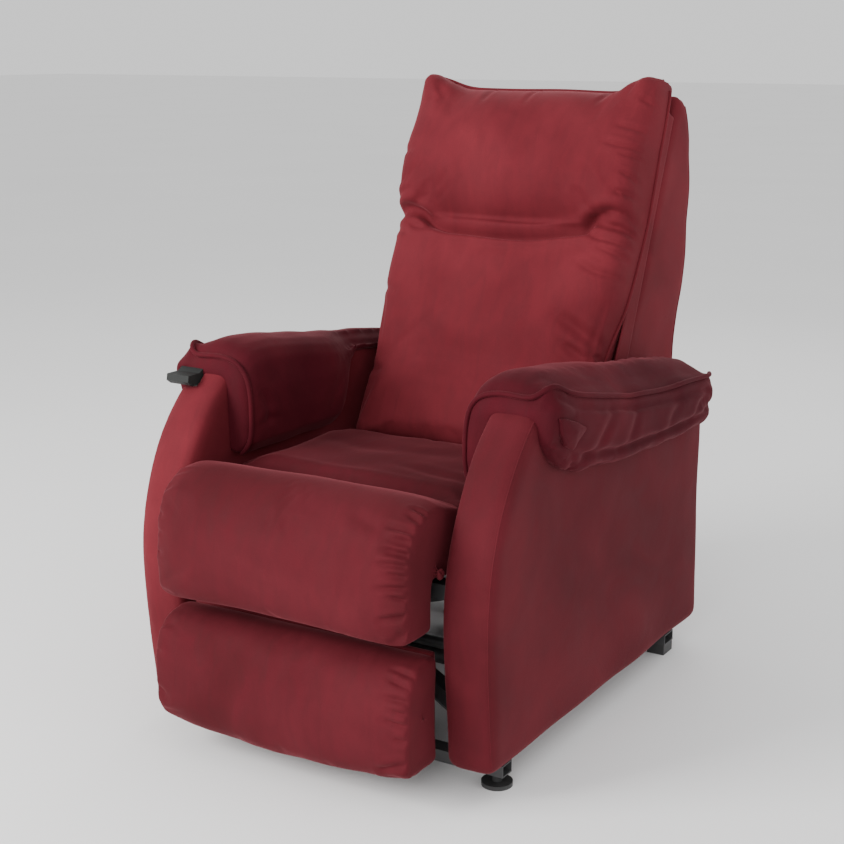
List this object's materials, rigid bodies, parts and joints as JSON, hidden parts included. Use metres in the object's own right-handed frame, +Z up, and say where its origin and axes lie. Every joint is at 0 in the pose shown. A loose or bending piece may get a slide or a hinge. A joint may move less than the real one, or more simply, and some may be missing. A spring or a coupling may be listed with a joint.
{
  "type": "lift recliner chair",
  "caption": "Upholstered armchair on a floor base that lifts and tips the seat forward, with a reclining back, a swing-out legrest and a corded-style handset kept in the arm.",
  "frame": {"origin": "on the floor, under the middle of the chair's bounding box", "axes": "+Z up, -Y towards the chair's front, +X towards the sitter's left arm"},
  "size_m": [0.732, 1.034, 1.068],
  "materials": {
    "velvet": "burgundy velvet",
    "arm_velvet": "burgundy velvet over a boxed arm",
    "frame_steel": "black powder coat",
    "bright_steel": "zinc plated",
    "motor_plastic": "textured",
    "board_wood": "raw plywood",
    "foot_plastic": "satin",
    "handset_plastic": "satin",
    "button_plastic": "glossy"
  },
  "bodies": {
    "base": {"base_front_tube": "frame_steel", "base_rear_tube": "frame_steel", "base_side_rails": "frame_steel", "base_lift_brackets": "frame_steel", "front_feet": "foot_plastic", "rear_feet": "foot_plastic", "base_motor_bracket": "frame_steel", "base_pivot_pins": "bright_steel"},
    "lift_arm": {"lift_arms": "frame_steel", "lift_torque_shaft": "frame_steel", "lift_arm_pins": "bright_steel", "lift_horn": "frame_steel"},
    "guide_link": {"guide_links": "frame_steel"},
    "lift_motor": {"lift_motor_housing": "motor_plastic", "lift_motor_can": "motor_plastic", "lift_motor_tube": "motor_plastic"},
    "lift_rod": {"lift_motor_rod": "bright_steel"},
    "carriage": {"seat_side_plate_left": "frame_steel", "seat_side_plate_right": "frame_steel", "seat_pivot_pins": "bright_steel", "arm_bolts": "bright_steel", "seat_front_rail": "frame_steel", "seat_rear_rail": "frame_steel", "seat_mid_rail": "frame_steel", "seat_springs": "bright_steel", "seat_cushion": "velvet", "seat_bolster": "velvet", "arm_panel_left": "arm_velvet", "arm_panel_right": "arm_velvet", "arm_pad_left": "velvet", "arm_pad_right": "velvet", "arm_drape_outer_left": "velvet", "arm_drape_outer_right": "velvet", "arm_drape_inner_left": "velvet", "arm_drape_inner_right": "velvet", "rear_valance": "board_wood", "handset_holder": "handset_plastic"},
    "backrest": {"back_frame": "board_wood", "back_cushion": "velvet", "back_shell": "velvet", "back_drive_bar": "frame_steel", "back_hinge_brackets": "frame_steel"},
    "back_motor": {"back_motor_housing": "motor_plastic", "back_motor_can": "motor_plastic", "back_motor_tube": "motor_plastic"},
    "back_rod": {"back_motor_rod": "bright_steel"},
    "leg_rear": {"leg_rear_links": "frame_steel", "leg_tie_tube": "frame_steel", "leg_knee_pins": "bright_steel"},
    "leg_front": {"leg_front_links": "frame_steel", "leg_cross_shaft": "frame_steel"},
    "leg_control": {"leg_control_links": "frame_steel"},
    "leg_board_rod": {"leg_board_rods": "frame_steel"},
    "footrest": {"legrest_board": "board_wood", "legrest_pad": "velvet", "legrest_brackets": "frame_steel"},
    "handset": {"handset_body": "handset_plastic"},
    "button_raise": {"handset_button_raise": "button_plastic"},
    "button_lower": {"handset_button_lower": "button_plastic"}
  },
  "joints": [
    {"name": "lift", "type": "hinge", "parent": "base", "child": "lift_arm", "pos_m": [0, -0.14, 0.1], "axis": [1, 0, 0], "range_deg": [0, 56]},
    {"name": "carriage_tilt", "type": "hinge", "parent": "lift_arm", "child": "carriage", "pos_m": [0, 0.278, 0.07], "axis": [1, 0, 0], "range_deg": [-30, 0]},
    {"name": "guide_swing", "type": "hinge", "parent": "base", "child": "guide_link", "pos_m": [0, -0.1947, 0.0938], "axis": [1, 0, 0], "range_deg": [0, 62.47]},
    {"name": "lift_motor_swing", "type": "hinge", "parent": "base", "child": "lift_motor", "pos_m": [0, 0.27, 0.073], "axis": [1, 0, 0], "range_deg": [0, 6.49]},
    {"name": "lift_motor_stroke", "type": "slide", "parent": "lift_motor", "child": "lift_rod", "axis": [0, -0.9702, 0.2422], "range_m": [0, 0.05552]},
    {"name": "recline", "type": "hinge", "parent": "carriage", "child": "backrest", "pos_m": [0, 0.15, 0.39], "axis": [-1, 0, 0], "range_deg": [0, 35]},
    {"name": "back_motor_swing", "type": "hinge", "parent": "carriage", "child": "back_motor", "pos_m": [0, -0.096, 0.283], "axis": [-1, 0, 0], "range_deg": [0, 4.83]},
    {"name": "back_motor_stroke", "type": "slide", "parent": "back_motor", "child": "back_rod", "axis": [0, 0.9966, 0.0828], "range_m": [-0.05815, 0]},
    {"name": "legrest", "type": "hinge", "parent": "carriage", "child": "leg_rear", "pos_m": [0, -0.228, 0.285], "axis": [-1, 0, 0], "range_deg": [0, 66]},
    {"name": "leg_knee", "type": "hinge", "parent": "leg_rear", "child": "leg_front", "pos_m": [0, -0.247, 0.083], "axis": [-1, 0, 0], "range_deg": [-94.2, 0]},
    {"name": "leg_board_tilt", "type": "hinge", "parent": "leg_front", "child": "footrest", "pos_m": [0, -0.391, 0.203], "axis": [-1, 0, 0], "range_deg": [0, 106.2]},
    {"name": "leg_control_swing", "type": "hinge", "parent": "carriage", "child": "leg_control", "pos_m": [0, -0.1815, 0.2999], "axis": [-1, 0, 0], "range_deg": [0, 61.74]},
    {"name": "leg_rod_swing", "type": "hinge", "parent": "leg_rear", "child": "leg_board_rod", "pos_m": [0, -0.2534, 0.0467], "axis": [-1, 0, 0], "range_deg": [-95.18, 0]},
    {"name": "handset_slide", "type": "slide", "parent": "carriage", "child": "handset", "axis": [0, -1, 0], "range_m": [0, 0.15]},
    {"name": "button_raise", "type": "slide", "parent": "handset", "child": "button_raise", "axis": [0, 0, -1], "range_m": [0, 0.001], "stiffness_N_per_m": 300, "springref_m": -0.001},
    {"name": "button_lower", "type": "slide", "parent": "handset", "child": "button_lower", "axis": [0, 0, -1], "range_m": [0, 0.001], "stiffness_N_per_m": 300, "springref_m": -0.001}
  ],
  "couplings": [
    {"joint": "carriage_tilt", "follows": "lift", "ratio": -0.53571},
    {"joint": "guide_swing", "follows": "lift", "ratio": 1.1156},
    {"joint": "lift_motor_swing", "follows": "lift", "ratio": 0.1158},
    {"joint": "lift_motor_stroke", "follows": "lift", "m_per_rad": 0.0568},
    {"joint": "back_motor_swing", "follows": "recline", "ratio": 0.1381},
    {"joint": "back_motor_stroke", "follows": "recline", "m_per_rad": -0.0952},
    {"joint": "leg_knee", "follows": "legrest", "ratio": -1.4273},
    {"joint": "leg_board_tilt", "follows": "legrest", "ratio": 1.6091},
    {"joint": "leg_control_swing", "follows": "legrest", "ratio": 0.9355},
    {"joint": "leg_rod_swing", "follows": "legrest", "ratio": -1.4421}
  ]
}
